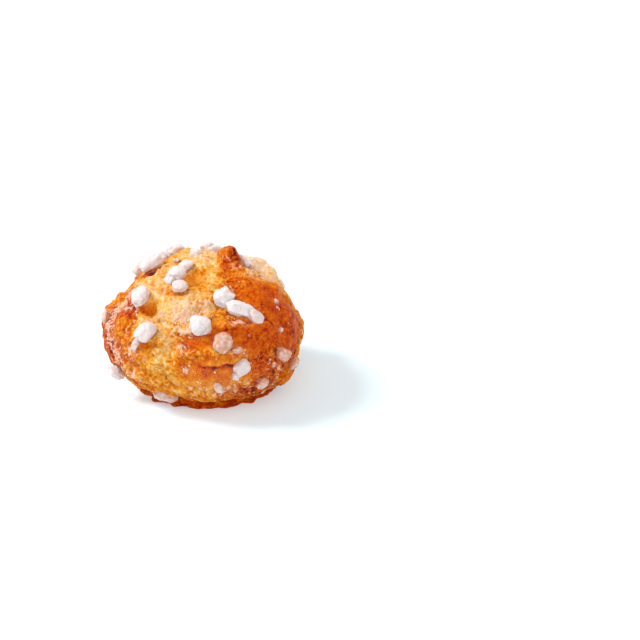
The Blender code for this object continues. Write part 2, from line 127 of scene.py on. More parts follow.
# Lobes and hollows of the front: place, spread across and up, and rise (a hollow's is negative).
SWELLINGS = (
    Swelling(15.5, 7.5, 7.0, 6.0, 1.3),
    Swelling(15.5, 14.5, 5.5, 3.0, 1.9),
    Swelling(7.0, 14.8, 2.2, 2.4, 1.4),
    Swelling(11.7, -1.0, 4.6, 3.2, 0.9),
    Swelling(-5.5, 4.5, 5.5, 4.0, 0.9),
    Swelling(-20.5, 2.0, 4.0, 6.0, 0.7),
    Swelling(-2.5, 18.5, 4.0, 2.2, 0.9),
    Swelling(-11.5, 17.0, 4.0, 3.0, -1.9),
    Swelling(2.5, -11.0, 10.0, 3.4, 1.0),
    Swelling(16.5, -9.0, 5.0, 5.0, 1.6),
    Swelling(19.3, -11.2, 3.2, 3.0, 2.0),
    Swelling(-13.6, 5.9, 1.6, 2.4, -1.5),
    Swelling(-2.5, 13.0, 2.0, 2.4, -1.9),
    Swelling(-14.6, -3.8, 2.3, 1.2, -1.6),
    Swelling(2.1, 10.3, 1.0, 1.1, -0.8),
    Swelling(-10.1, 15.4, 1.2, 0.8, -0.6),
    Swelling(-13.9, -6.4, 1.0, 1.3, -1.0),
    Swelling(-12.2, -10.0, 0.9, 1.3, -1.0),
    Swelling(3.0, 1.0, 1.6, 2.4, -0.6),
    Swelling(-22.2, 8.2, 3.0, 3.0, -3.2),
    Swelling(-20.0, 11.2, 4.5, 3.4, -2.4),
    Swelling(22.6, 8.5, 5.0, 7.0, -2.8),
)

# Where the skin of the front is smooth: its right lobe, its belly and the floors of its hollows.
CALM_PLACES = (
    Calm(15.5, 5.0, 7.5, 8.0),
    Calm(11.0, -2.5, 5.5, 3.5),
    Calm(1.0, -3.0, 5.0, 1.8),
    Calm(3.0, -10.5, 10.0, 4.0),
    Calm(3.0, 0.8, 1.8, 2.6),
    Calm(-13.6, 5.9, 1.8, 2.0),
    Calm(-2.5, 13.0, 2.0, 2.4),
    Calm(-14.6, -3.8, 2.3, 1.2),
    Calm(20.0, -11.0, 2.5, 3.0),
    Calm(14.5, 15.5, 5.0, 3.0),
    Calm(21.5, 1.0, 4.0, 7.0),
)

# Folds and splits of the front: each a run of places, its width and its rise (a split's is negative).
LINES = (
    Line(((-4.0, -6.0), (-1.0, -5.9), (1.5, -5.8), (4.8, -6.2), (8.8, -4.9)), 0.6, 0.6),
    Line(((-12.5, 11.0), (-11.4, 7.9), (-12.6, 3.5), (-10.8, 0.0), (-9.2, -4.1)), 1.9, -1.2),
    Line(((-9.2, -4.1), (-11.0, -7.7), (-10.2, -11.6)), 2.0, -1.3),
    Line(((-14.5, 13.2), (-13.0, 14.1), (-11.4, 15.3)), 0.5, -1.4),
    Line(((5.0, 12.5), (3.4, 9.0), (2.6, 3.0)), 1.6, -0.6),
    Line(((9.6, 18.4), (13.5, 17.4), (17.5, 14.4)), 0.8, 0.5),
    Line(((-23.0, -5.5), (-18.5, -10.3), (-13.0, -13.2), (-6.0, -15.0), (2.0, -15.7)), 0.8, 0.5),
    Line(((-20.0, -6.5), (-16.0, -9.8), (-12.5, -11.8)), 0.7, -0.5),
    Line(((-15.6, 4.2), (-13.0, 3.3), (-11.0, 3.7), (-9.2, 2.6)), 0.5, 0.7),
    Line(((-14.6, 2.0), (-12.4, 1.1), (-10.2, 1.7)), 0.5, 0.6),
    Line(((-13.6, 11.4), (-12.0, 9.0), (-11.2, 6.4), (-10.4, 4.2)), 0.6, 0.7),
    Line(((-10.6, -2.4), (-9.4, -5.0), (-10.4, -8.0), (-9.2, -11.0)), 0.6, 0.7),
    Line(((-13.0, -5.0), (-11.8, -7.4), (-12.4, -8.8)), 0.5, 0.6),
    Line(((-12.8, 12.2), (-9.8, 13.8), (-7.4, 15.8)), 0.5, 0.5),
)

# Edges of the front, where the skin left of a run of places laps over the rest: the rise and its reach.
EDGES = (
    Edge(((-12.6, 11.4), (-10.4, 10.5), (-8.7, 9.0), (-7.1, 8.4), (-4.7, 9.4), (-3.0, 10.8)), 1.2, 2.6),
    Edge(((-9.8, -1.9), (-7.6, -1.3), (-3.5, -1.1), (0.8, -0.9), (3.6, -1.9)), 0.7, 3.0),
    Edge(((17.2, 0.2), (15.4, 1.8), (12.8, 2.0), (10.5, 1.3), (7.5, 2.2), (4.0, 2.4)), 0.6, 3.6),
    Edge(((-3.0, -8.2), (1.4, -8.6), (4.0, -8.4), (6.7, -8.0), (9.5, -7.2), (14.0, -6.1)), 0.45, 2.6),
    Edge(((19.5, 8.6), (16.5, 10.6), (13.5, 11.8), (11.0, 13.6), (8.8, 15.2)), 0.9, 3.6),
    Edge(((13.5, -14.8), (16.0, -12.6), (17.4, -9.8), (17.2, -6.5)), 0.8, 3.0),
)

# Sugar grains of the front: place, size, turn from level in degrees, lift off the crust, and melt.
FRONT_GRAINS = (
    Grain(-15.4, 15.7, 5.0, 4.6, 55, 0.4, 0.2),
    Grain(-12.8, 15.9, 5.8, 3.8, 35, 0.3, 0.05),
    Grain(-12.9, 18.6, 6.2, 5.4, 20, 1.0, 0.05),
    Grain(-9.6, 18.2, 6.2, 4.4, 25, 0.3, 0.05),
    Grain(-7.3, 20.2, 4.6, 3.8, 10, 0.4, 0.05),
    Grain(-2.1, 19.1, 3.2, 2.9, 60, 0.0, 0.1),
    Grain(0.8, 21.3, 3.6, 3.0, 5, 0.4, 0.1),
    Grain(3.0, 21.8, 3.8, 3.4, 25, 0.1, 0.2),
    Grain(-4.6, 15.9, 4.2, 2.9, 55, 0.0, 0.1),
    Grain(-6.9, 13.8, 4.8, 3.7, 35, 0.0, 0.1),
    Grain(-8.4, 12.5, 2.8, 2.4, 60, 0.0, 0.1),
    Grain(-6.0, 10.9, 3.8, 3.0, -10, 0.0, 0.25),
    Grain(-15.8, 8.4, 5.2, 3.9, 80, 0.0, 0.1),
    Grain(-14.6, -0.4, 5.2, 4.2, 40, 0.0, 0.1),
    Grain(-16.9, -3.3, 3.6, 1.8, 65, 0.0, 0.4),
    Grain(-1.1, 1.2, 5.0, 4.6, 15, 0.0, 0.0),
    Grain(4.9, 8.1, 5.0, 4.4, 60, 0.0, 0.0),
    Grain(8.7, 5.2, 7.0, 3.4, -8, 0.0, 0.0),
    Grain(12.6, 3.5, 4.2, 2.9, -30, 0.0, 0.3),
    Grain(4.6, -3.2, 4.9, 4.3, 80, 0.0, 1.0),
    Grain(9.2, -9.2, 4.0, 3.4, 30, 0.0, 0.2),
    Grain(8.0, -11.2, 2.6, 2.0, 65, 0.0, 0.3),
    Grain(3.5, -14.2, 3.7, 2.0, -75, 0.0, 0.8),
    Grain(14.4, -13.2, 3.4, 2.4, 35, 0.0, 0.8),
    Grain(19.5, -6.0, 4.0, 3.1, -35, 0.0, 1.0),
    Grain(22.2, -8.2, 3.6, 2.4, -30, -0.1, 0.9),
    Grain(-9.6, -16.2, 5.8, 3.2, -14, 0.2, 0.45),
    Grain(-21.7, -10.4, 5.0, 3.6, -60, 0.3, 0.1),
    Grain(-24.4, 3.2, 3.4, 2.2, 80, 0.2, 0.7),
    Grain(10.1, 16.9, 5.6, 2.8, -58, 0.3, 0.3),
    Grain(-6.8, 17.2, 1.5, 1.2, 0, 0.0, 0.6),
    Grain(-4.6, -10.0, 1.3, 1.1, 0, 0.0, 0.7),
    Grain(18.9, 0.1, 1.3, 1.1, 0, 0.0, 0.7),
    Grain(17.8, 7.1, 1.3, 1.1, 0, 0.0, 0.8),
    Grain(8.2, -5.0, 2.2, 1.4, 10, 0.0, 0.9),
)

# Sugar grains elsewhere, strewn from above: thick on the dome and thin below the belt, some in pairs.
STREWN_GRAINS = 34
STREWN_LENGTH = (3.0, 6.0)
STREWN_HEIGHTS = (4.0, 17.0)
STREWN_GAP = 1.6
STREWN_SEEN = -0.45
PAIRED_SHARE = 0.35
PAIRED_REACH = 0.6
PAIRED_SIZE = (0.6, 0.85)
PAIRED_TURN = 50
PAIRED_LIFT = -0.3
NARROWNESS = (0.6, 0.9)

# A grain is a rounded block with lumps, sunk a little into the crust.
GRAIN_THICKNESS = 0.8
GRAIN_BLOCKINESS = 2.5
GRAIN_LUMPS = (0.26, 0.75)
GRAIN_SUNK = 0.24
KIND_STEP = 3.7

# The seeds of the strewn grains and of all noise, which starts from the clock unless it has one.
SEED = 20
NOISE_SEED = 8
noise.seed_set(NOISE_SEED)

# How brown the front is baked, from 0, the palest torn dough, to 1, nearly black.
TONES = (
    Tone(16.5, 4.0, 7.0, 6.5, 0.74),
    Tone(10.0, 9.5, 3.5, 3.0, 0.60),
    Tone(13.4, 8.0, 3.2, 2.6, 0.74),
    Tone(12.0, 12.5, 3.0, 1.6, 0.50),
    Tone(18.5, 10.0, 2.6, 2.6, 0.45),
    Tone(21.5, -1.0, 3.0, 5.0, 0.80),
    Tone(11.5, -1.5, 4.6, 3.2, 0.71),
    Tone(1.0, -3.2, 6.0, 1.7, 0.68),
    Tone(3.0, -6.3, 9.0, 1.2, 0.57),
    Tone(4.0, -9.8, 9.0, 2.4, 0.67),
    Tone(2.0, -13.5, 10.0, 2.4, 0.50),
    Tone(14.5, -9.5, 3.4, 4.6, 0.72),
    Tone(13.0, -13.5, 5.0, 2.0, 0.74),
    Tone(19.6, -11.2, 2.2, 2.6, 0.62),
    Tone(-20.5, -1.0, 3.0, 4.0, 0.56),
    Tone(-21.5, 5.0, 3.0, 4.0, 0.66),
    Tone(-20.8, 8.6, 2.6, 2.4, 0.74),
    Tone(-24.2, -1.0, 3.0, 6.0, 0.74),
    Tone(-18.4, 3.8, 2.0, 1.8, 0.78),
    Tone(-19.0, -7.5, 3.0, 3.0, 0.63),
    Tone(-13.5, -12.0, 5.0, 1.4, 0.48),
    Tone(-11.2, -7.5, 2.6, 4.6, 0.22),
    Tone(-8.4, -11.5, 2.4, 3.2, 0.30),
    Tone(7.2, 2.8, 2.4, 1.2, 0.45),
    Tone(-14.0, 1.8, 2.4, 2.4, 0.14),
    Tone(-12.0, 8.6, 1.8, 2.4, 0.16),
    Tone(-13.0, 11.4, 3.4, 2.2, 0.25),
    Tone(-9.5, 11.8, 2.6, 1.8, 0.22),
    Tone(-7.0, 4.0, 4.6, 4.0, 0.27),
    Tone(-2.0, 6.0, 4.0, 3.0, 0.26),
    Tone(7.3, 15.4, 1.6, 2.2, 0.80),
    Tone(-9.5, 14.8, 5.0, 1.8, 0.24),
    Tone(-9.0, 16.6, 3.2, 1.6, 0.36),
    Tone(-9.4, 13.2, 2.0, 1.6, 0.30),
    Tone(-2.0, 17.4, 4.0, 3.0, 0.18),
    Tone(1.6, 18.0, 3.0, 4.0, 0.17),
    Tone(6.6, 12.4, 2.4, 2.0, 0.60),
    Tone(2.0, 12.6, 2.0, 2.0, 0.22),
    # The back lobe, behind the tip: its own pale dough, made paler still as painted light from behind.
    Tone(14.0, 15.6, 5.5, 6.0, 0.06),
    Tone(14.0, 15.6, 4.5, 4.0, 0.06),
    Tone(2.8, 1.0, 1.6, 3.2, 0.60),
    Tone(-13.6, 5.9, 1.6, 2.2, 0.62),
    Tone(-2.5, 13.0, 1.9, 2.3, 0.50),
    Tone(-14.6, -3.8, 2.2, 1.2, 0.56),
    Tone(-13.9, -6.4, 0.9, 1.2, 0.48),
    Tone(-12.2, -10.0, 0.8, 1.2, 0.48),
    # The slot under the top left grains: partly burnt crust, partly painted shade inside the slot.
    Tone(-13.4, 14.3, 2.0, 0.8, 0.95),
)

# Where fine sugar and syrup dull the front with white, and with a negative amount, where they don't.
DUSTINGS = (
    Dusting(-23.8, 0.5, 3.4, 5.0, 0.8),
    Dusting(-20.5, 7.0, 3.4, 3.0, 1.0),
    Dusting(-18.0, 9.5, 3.0, 2.4, 0.6),
    Dusting(-22.6, 7.4, 2.4, 3.0, 1.0),
    Dusting(-18.8, 12.0, 2.6, 2.4, 0.7),
    Dusting(-18.6, 4.6, 1.6, 1.4, 0.5),
    Dusting(-4.8, 3.4, 3.0, 2.0, 0.6),
    Dusting(-6.5, 4.5, 6.0, 4.5, 0.35),
    Dusting(-13.0, 3.0, 4.0, 5.0, 0.25),
    Dusting(-4.5, -0.4, 3.4, 0.9, 0.8),
    Dusting(1.0, 18.6, 3.6, 3.6, 0.9),
    Dusting(-3.0, 19.5, 4.0, 2.0, 0.7),
    Dusting(7.5, 14.0, 2.4, 0.8, 0.3),
    Dusting(-10.5, 14.8, 5.0, 2.6, 0.35),
    Dusting(3.0, -10.5, 7.0, 3.0, 0.28),
    Dusting(1.0, -14.0, 9.0, 2.2, 0.3),
    # Pale dust on the back lobe, partly sugar and partly painted light from behind.
    Dusting(14.0, 15.0, 5.0, 4.0, 0.8),
    Dusting(-17.5, -5.0, 2.2, 2.4, 0.5),
    Dusting(-22.0, -6.5, 2.6, 3.6, 0.6),
    Dusting(-17.0, -11.2, 3.0, 1.6, 0.6),
    Dusting(8.0, -5.2, 2.4, 1.0, 0.7),
    Dusting(-6.0, -4.3, 1.8, 1.2, 0.7),
    Dusting(15.0, -11.0, 4.5, 4.0, 0.2),
    Dusting(5.5, -15.4, 3.0, 2.0, 0.6),
    Dusting(9.5, 1.6, 3.4, 0.7, 0.6),
    Dusting(12.5, 11.8, 2.4, 1.2, 0.5),
    Dusting(18.5, 10.5, 2.0, 2.6, 0.5),
    Dusting(-9.4, 13.0, 1.6, 1.4, 0.3),
    Dusting(-11.5, 11.5, 4.0, 2.5, 0.35),
    Dusting(-1.0, 6.5, 3.0, 2.5, 0.4),
    Dusting(0.5, 17.0, 3.0, 2.4, 0.3),
    Dusting(-13.6, 5.9, 1.8, 2.4, -0.5),
    Dusting(-14.6, -3.8, 2.4, 1.4, -0.4),
    Dusting(-2.5, 13.0, 2.0, 2.4, -0.3),
)

# The fine relief of the crust, as (height, spacing): creases, coarse and fine, and the bends in them.
# They come in patches, and are mostly left out of calm skin.
CREASES = ((0.28, 1.7), (0.22, 0.9))
CREASE_BEND = (0.8, 2.2)
CREASE_SHARPNESS = 3.0
CREASES_CALM = 0.22
CREASE_PATCH = 4.0
CREASE_OFFSET = (0.0, 7.0, 1.0)
CREASE_RANGE = (-0.3, 0.3)
CREASES_OFF_PATCH = 0.45

# Bubbles, whose sizes are shares of their spacing, and the knobs of torn dough, which is dough that is
# paler than these tones. The middle is the usual distance between a cell's point and its surroundings.
BUBBLE = (0.30, 2.7)
BUBBLE_SIZES = (0.12, 0.28)
BUBBLES_LEFT_OUT = 0.1
BUBBLE_DRAW_STEP = 9.0
KNOB = (0.55, 1.35)
TORN_TONE = (0.22, 0.42)
CELL_MIDDLE = 0.45

# A split that is deeper and narrower than this is a slot. An edge has a band of brow on its upper side,
# paled as painted highlight, and a band of painted shade on its lower.
SLOT_RISE = -1.0
SLOT_WIDTH = 1.0
BROW_OFF = 0.5
SHADE_OFF = -0.35
BAND_WIDTH = 0.45

# The front's tones and dustings hold where the core faces the viewpoint by more than this, and the
# middle tone has a small weight among them. Elsewhere the tone has patches and spots, each as
# (strength, spacing), and is browner where the skin is calm and pale in the tears.
TONE_FACING = (-0.5, -0.05)
TONE_MIDDLE = 0.5
MIDDLE_WEIGHT = 0.05
TONE_PATCH = (0.45, 11.0)
TONE_OFFSET = (1.0, 8.0, 3.0)
TONE_SPOT = (0.2, 4.5)
TONE_CALM = 0.22
TEAR_TONE = 0.2

# How far the relief darkens the tone as painted shade, or with a minus pales it as painted highlight:
# shade under edges and in the hollows of creases and knobs, highlight on brows, folds and the tops of
# creases and knobs. Then the tones of the slots, partly burnt and partly painted shade, of the foot, and
# of the tip, which is browner to its right, partly from its bake and partly as painted shade on that side.
PAINTED_SHADE_UNDER_EDGE = 0.22
PAINTED_HIGHLIGHT_ON_BROW = -0.10
PAINTED_HIGHLIGHT_ON_FOLD = -0.10
PAINTED_LIGHT_ON_CRINKLE = -0.26
PAINTED_LIGHT_ON_KNOB = -0.16
SLOT_BURNT_AND_SHADED_TONE = 0.95
FOOT_TONE = 0.72
FOOT_CALM = 0.8
FOOT_TONE_STEP = 0.3
TIP_TONES_WITH_SHADE = (0.57, 0.71)
TIP_TONE_RANGE = (-2.2, 0.0)
TIP_TONE_EDGE = 0.5

# The dust of fine sugar lies on brows, where it adds to their painted highlight, around each grain as a
# halo, and elsewhere than in front by rule. The fleck share is the share of the skin with pale flecks,
# partly sugar and partly painted glints, which dust, wrinkles and the ridges of creases raise.
DUST_ELSEWHERE = 0.5
DUST_PATCH = 8.0
DUST_OFFSET = (5.0, 5.0, 0.0)
DUST_RANGE = (0.1, 0.5)
BROW_DUST_AND_HIGHLIGHT = 0.3
HALO_DUST = 0.6
HALO_WIDTH = 0.6
FLECKS_LOST_CALM = 0.4
FLECKS_LOST_FOOT = 0.8
FLECKS_ON_WRINKLES = 0.20
FLECKS_AND_GLINTS_ON_RIDGES = 0.7

# The fine relief of the grains: (height, spacing) of their bumps and of their grit.
NIB_BUMP = (0.15, 1.0)
NIB_GRIT = (0.17, 0.55)

# How fine the meshes are: faces along a side of the crust's cube, and levels of division of the grains,
# with one more for those that are longer than this.
CRUST_GRID = 128
LARGE_GRAIN = 3.8
LARGE_GRAIN_LEVELS = 5
SMALL_GRAIN_LEVELS = 4

# The crystals between the grains, each a small uneven chip.
CRYSTAL_CLUMPS = 300
CLUMP_COUNT = (1, 7)
CLUMP_SPREAD = 0.6
CRYSTALS_ANYWHERE = 0.003
CRYSTAL_SIZE = (0.2, 0.9)
CRYSTAL_STRETCH = (0.6, 1.2)
CRYSTAL_UNEVEN = (0.55, 1.2)

# Colours in sRGB, from 0 to 255. The crust's are given for tones from 0 to 1.
BAKE_COLOURS = (
    (0.00, (244, 222, 182)),
    (0.15, (238, 202, 144)),
    (0.30, (231, 174, 92)),
    (0.45, (222, 147, 40)),
    (0.60, (207, 110, 12)),
    (0.70, (195, 86, 5)),
    (0.80, (179, 61, 3)),
    (0.90, (134, 28, 3)),
    (1.00, (78, 12, 4)),
)
DUST_COLOURS = ((246, 214, 190), (232, 172, 142))
SUGAR_COLOURS = ((216, 206, 204), (202, 144, 114))
CRYSTAL_COLOURS = ((240, 212, 192), (218, 164, 130))
FLOOR_COLOURS = ((206, 222, 229), (208, 224, 231))

# The materials. A noise is (spacing, detail), and a map is (low, high, result at low, result at high).
CREASE_LINE = (1.3, 4.0)
CREASE_LINE_MAP = (0.0, 0.12, 1.0, 0.0)
CREASE_LINE_PAINTED_SHADE = 0.10
CREASE_LINE_DEPTH = 0.5
MOTTLE = (2.2, 4.0)
MOTTLE_MAP = (0.3, 0.7, -0.11, 0.11)
SPECKLE = (0.7, 5.0)
SPECKLE_MAP = (0.33, 0.67, -0.14, 0.14)
SPECKLE_ROUGH_MAP = (0.0, 1.0, 0.55, 1.0)
VEIL = 0.15
VEIL_MOTTLE = (0.5, 2.0)
FLECKS = ((0.9, 6.0), (3.0, 2.0))
FLECK_SHARES = (0.75, 0.25)
FLECK_SHARPNESS = 14.0
FLECK_SHARE_MAP = (0.0, 1.0, 0.64, 0.40)
FLECK_CALM_MAP = (0.0, 1.0, 0.75, 0.35)
FLECK_HEIGHT = 0.3
CRUST_GRIT = (0.35, 4.0)
CRUST_GRIT_MAP = (0.0, 1.0, 0.35, 1.0)
CRUST_BUMP = 0.25
CRUST_ROUGHNESS_MAP = (0.0, 1.0, 0.48, 0.40)
SYRUP_CLOUD = (0.8, 4.0)
SYRUP_CLOUD_MAP = (0.35, 0.65, 0.35, 1.25)
LOW_SYRUP_AND_GLOW_MAP = (-0.7, 0.8, 1.0, 0.0)
LOW_SYRUP_AND_GLOW_MELTED = 0.7
LOW_SYRUP_AND_GLOW_ALWAYS = 0.14
SUGAR_GRIT = (0.25, 3.0)
SUGAR_BUMP = 0.10
SUGAR_ROUGHNESS_MAP = (0.0, 1.0, 0.6, 0.35)
CRYSTAL_CLOUD = (0.6, 1.0)
CRYSTAL_FACETS = 0.3
CRYSTAL_BUMP = 0.03
FLOOR_CLOUD = (40.0, 1.0)
FLOOR_GLOW = 0.31

# The studio, in metres: lamps with a way from the puff, a distance, a size and a power.
LENS = 100.0
SENSOR = 36.0
CLIP = (0.01, 20.0)
FLOOR_RADIUS = 4.0
FLOOR_SIDES = 64
LAMPS = (
    ("key", (-0.68, 0.06, 0.73), 1.6, 0.5, 22.0),
    ("fill", (0.15, -0.75, 0.65), 1.6, 1.4, 11.6),
    ("rim", (0.5, 0.55, 0.67), 1.6, 1.0, 9.0),
)
SKY_MAP = (0.05, 0.8, 0.95, 0.38)
SKY_COLOUR = (0.97, 0.985, 1.0, 1.0)

BELT_MIDDLE = Vector((0, 0, BELT_HEIGHT))


def eased(low, high, value):
    """0 below low and 1 above high, with a smooth rise between them."""
    share = min(max((value - low) / (high - low), 0.0), 1.0)
    return share * share * (3.0 - 2.0 * share)


def core_radii(above):
    return Vector((BELT_RADIUS_X, BELT_RADIUS_Y, DOME_RISE if above else UNDERSIDE_DROP))


def core_point(way):
    """The core's surface along a unit vector from the belt's middle."""
    return BELT_MIDDLE + way * core_radii(way.z > 0)


def core_normal(point):
    off = point - BELT_MIDDLE
    radii = core_radii(off.z > 0)
    return Vector([size / radius**2 for size, radius in zip(off, radii)]).normalized()


def view_axes():
    """(viewpoint, across, up, ahead) of the front's layout."""
    ahead = Vector((0, math.cos(VIEW_RISE), -math.sin(VIEW_RISE)))
    across = Vector((1, 0, 0))
    up = across.cross(ahead)
    viewpoint = BELT_MIDDLE + across * VIEW_ASIDE + up * VIEW_ABOVE - ahead * VIEW_DISTANCE
    return viewpoint, across, up, ahead


VIEWPOINT, ACROSS, UP, AHEAD = view_axes()


def way_seen_at(across, up):
    """The core's direction that is seen at a place of the front, or the nearest if it is off the edge."""
    ray = (BELT_MIDDLE + ACROSS * across + UP * up - VIEWPOINT).normalized()
    for above in (True, False):
        radii = core_radii(above)
        start = Vector([size / radius for size, radius in zip(VIEWPOINT - BELT_MIDDLE, radii)])
        step = Vector([size / radius for size, radius in zip(ray, radii)])
        nearest = -start.dot(step) / step.length_squared
        miss = (start + step * nearest).length_squared
        back = math.sqrt(max(1.0 - miss, 0.0)) / step.length
        way = (start + step * (nearest - back)).normalized()
        if way.z > 0:
            break
    return way


def place_of(point):
    """The place (across, up) of the front at which a point is seen."""
    off = point - VIEWPOINT
    on_plane = VIEWPOINT + off * VIEW_DISTANCE / off.dot(AHEAD) - BELT_MIDDLE
    return Vector((on_plane.dot(ACROSS), on_plane.dot(UP)))


def right_of(normal):
    """A unit vector square to the normal and as near to +X as it can be."""
    return (Vector((1, 0, 0)) - normal * normal.x).normalized()


def placed(patch):
    """(centre, axis across, axis up, patch) on the core."""
    centre = core_point(way_seen_at(patch.across, patch.up))
    normal = core_normal(centre)
    right = right_of(normal)
    return centre, right, normal.cross(right), patch


PLACED_SWELLINGS = [placed(each) for each in SWELLINGS]
PLACED_CALMS = [placed(each) for each in CALM_PLACES]
PLACED_TONES = [placed(each) for each in TONES]
PLACED_DUSTINGS = [placed(each) for each in DUSTINGS]
PLACED_LINES = [([core_point(way_seen_at(*place)) for place in line.places], line) for line in LINES]
PLACED_EDGES = [([core_point(way_seen_at(*place)) for place in edge.places], edge) for edge in EDGES]
TIP_FOOT = core_point(way_seen_at(*TIP_PLACE))


def beside(point, places, normal):
    """(distance from a run of places, share of the run passed); the distance is + to the run's left."""
    best = None
    for number, (start, end) in enumerate(zip(places, places[1:])):
        along = end - start
        share = min(max((point - start).dot(along) / along.length_squared, 0.0), 1.0)
        off = point - start - along * share
        if best is None or off.length < best[0].length:
            best = (off, along, number + share)
    off, along, passed = best
    left = along.cross(off).dot(normal) > 0
    return (off.length if left else -off.length), passed / (len(places) - 1)


def within(point, placed_patch):
    """1 at the centre of a placed patch, falling to 0 away from it."""
    centre, right, upward, patch = placed_patch
    off = point - centre
    right_off = off.dot(right)
    up_off = off.dot(upward)
    deep_off = off.length_squared - right_off**2 - up_off**2
    spread = (right_off / patch.wide) ** 2 + (up_off / patch.high) ** 2
    return math.exp(-spread - deep_off / (patch.wide * patch.high))


def facing_view(point):
    """How squarely the core at a point faces the viewpoint."""
    return core_normal(point).dot((VIEWPOINT - point).normalized())


def calm_share(point, facing):
    """1 where the skin is smooth, 0 where it is wrinkled."""
    in_front = min(sum(eased(*CALM_RIM, within(point, each)) for each in PLACED_CALMS), 1.0)
    by_rule = eased(*CALM_RANGE, noise.noise(point / CALM_PATCH + Vector(CALM_OFFSET)))
    front = eased(*FRONT_FACING, facing)
    return in_front * front + by_rule * (1.0 - front)


def tear(point, facing):
    """(how far in a tear the point lies, how far on its lip), each from 0 to 1."""
    height, spacing = TEAR_BEND
    place = point / TEAR_SPACING
    distances, _ = noise.voronoi(place + noise.noise_vector(place / spacing) * height)
    gap = distances[1] - distances[0]
    inside = 1.0 - eased(0.0, TEAR_WIDTH, gap)
    lip = eased(*TEAR_LIP_START, gap) - eased(*TEAR_LIP_END, gap)
    strength = eased(*TEAR_RANGE, noise.noise(point / TEAR_PATCH + Vector(TEAR_PATCH_OFFSET)))
    strength *= eased(FOOT_HEIGHT, BELT_HEIGHT, point.z)
    strength *= 1.0 - (1.0 - TEARS_IN_FRONT) * eased(*FRONT_FACING, facing)
    return inside * strength, lip * strength


Ground = namedtuple("Ground", "core normal facing bent calm inside lip lines edges")


def ground_at(core):
    """What lies at a point of the core: how calm it is, its tear, and its share of each line and edge."""
    normal = core_normal(core)
    facing = facing_view(core)
    bent = core + sum((noise.noise_vector(core / spacing) * height for height, spacing in BENDS), Vector())
    lines = []
    for places, line in PLACED_LINES:
        off, _ = beside(bent, places, normal)
        lines.append((math.exp(-((off / line.width) ** 2)), line))
    edges = []
    for places, edge in PLACED_EDGES:
        off, passed = beside(bent, places, normal)
        kept = eased(0.0, EDGE_ENDS, passed) * (1.0 - eased(1.0 - EDGE_ENDS, 1.0, passed))
        edges.append((off, kept, edge))
    return Ground(core, normal, facing, bent, calm_share(core, facing), *tear(core, facing), lines, edges)


def relief(ground):
    """Rise of the lobes, hollows, folds, edges, tears, lumps and wrinkles."""
    core = ground.core
    rise = sum(each[-1].rise * within(ground.bent, each) for each in PLACED_SWELLINGS)
    rise += sum(line.rise * share for share, line in ground.lines)
    for off, kept, edge in ground.edges:
        side = eased(-EDGE_SOFTNESS, EDGE_SOFTNESS, off)
        rise += edge.rise * kept * side * math.exp(-((max(off, 0.0) / edge.reach) ** 2))
    rise += TEAR_LIP * ground.lip - TEAR_DEPTH * ground.inside
    wrinkled = 1.0 - (1.0 - WRINKLES_WHERE_CALM) * ground.calm
    for (height, spacing), strength in ((SWELL, 1.0), (LUMP, 1.0), (WRINKLE, wrinkled)):
        rise += strength * height * noise.noise(core / spacing + Vector((spacing, 0.0, 0.0)))
    return rise


def tip_share(point):
    """1 at the middle of the tip, 0 outside it."""
    off = (point - TIP_FOOT).to_2d()
    turn = math.atan2(off.y, off.x)
    uneven, spacing = TIP_UNEVEN
    radius = TIP_RADIUS * (1.0 - TIP_LONG_SIDE * math.cos(turn))
    radius *= 1.0 + uneven * noise.noise(Vector((math.cos(turn), math.sin(turn), 0.0)) / spacing)
    inward = max(1.0 - (off.length / radius) ** TIP_BLUNTNESS, 0.0)
    return inward**TIP_FLARE * eased(BELT_HEIGHT, BELT_HEIGHT + DOME_RISE / 2, point.z)


def tipped(point):
    """The point lifted by the shoulder and the tip."""
    share = tip_share(point)
    off = (point - TIP_FOOT).to_2d().length
    shoulder = SHOULDER_HEIGHT * math.exp(-((off / SHOULDER_RADIUS) ** 2))
    shoulder *= eased(BELT_HEIGHT, BELT_HEIGHT + DOME_RISE / 2, point.z)
    return point + Vector((TIP_LEAN[0] * share, TIP_LEAN[1] * share, shoulder + TIP_HEIGHT * share))


def footed(point):
    """The point moved onto the foot where it lies under the ledge, and flattened at the base."""
    ragged = noise.noise(point / FOOT_RAGGED_SPACING)
    top = FOOT_HEIGHT + ragged * FOOT_STEP / 2
    under = 1.0 - eased(top - FOOT_STEP, top, point.z)
    base_share = math.sqrt(1.0 - (BELT_HEIGHT / UNDERSIDE_DROP) ** 2)
    off = Vector((point.x / BELT_RADIUS_X, point.y / BELT_RADIUS_Y)) / base_share
    reach = min(off.length, 1.0) * FOOT_BASE_SHARE
    reach += (1.0 - FOOT_BASE_SHARE) * eased(1.0, 1.0 / base_share, off.length)
    reach += FOOT_RAGGED / FOOT_RADIUS_X * ragged * eased(FOOT_FLAT_WITHIN, 1.0, off.length)
    if off.length > 0:
        off = off.normalized() * reach
    foot = Vector((off.x * FOOT_RADIUS_X, off.y * FOOT_RADIUS_Y))
    flat = point.to_2d()
    notch = math.exp(-(((point.z - top + FOOT_STEP) / FOOT_STEP) ** 2)) * eased(FOOT_FLAT_WITHIN, 1.0, reach)
    ledge = eased(top - FOOT_STEP, top, point.z) - eased(top, top + FOOT_STEP * 2, point.z)
    flat = flat.lerp(foot, under)
    flat += flat.normalized() * (LEDGE_RISE * ledge - NOTCH_DEPTH * notch)
    flat.x += FOOT_ASIDE * (1.0 - eased(0.0, BELT_HEIGHT, point.z))
    return Vector((flat.x, flat.y, max(point.z, 0.0)))


def raised(ground, more=0.0):
    """The crust's surface over a point of the core, with some finer relief if any. The base stays flat."""
    rise = (relief(ground) + more) * eased(0.0, FOOT_HEIGHT, ground.core.z)
    return footed(tipped(ground.core + ground.normal * rise))


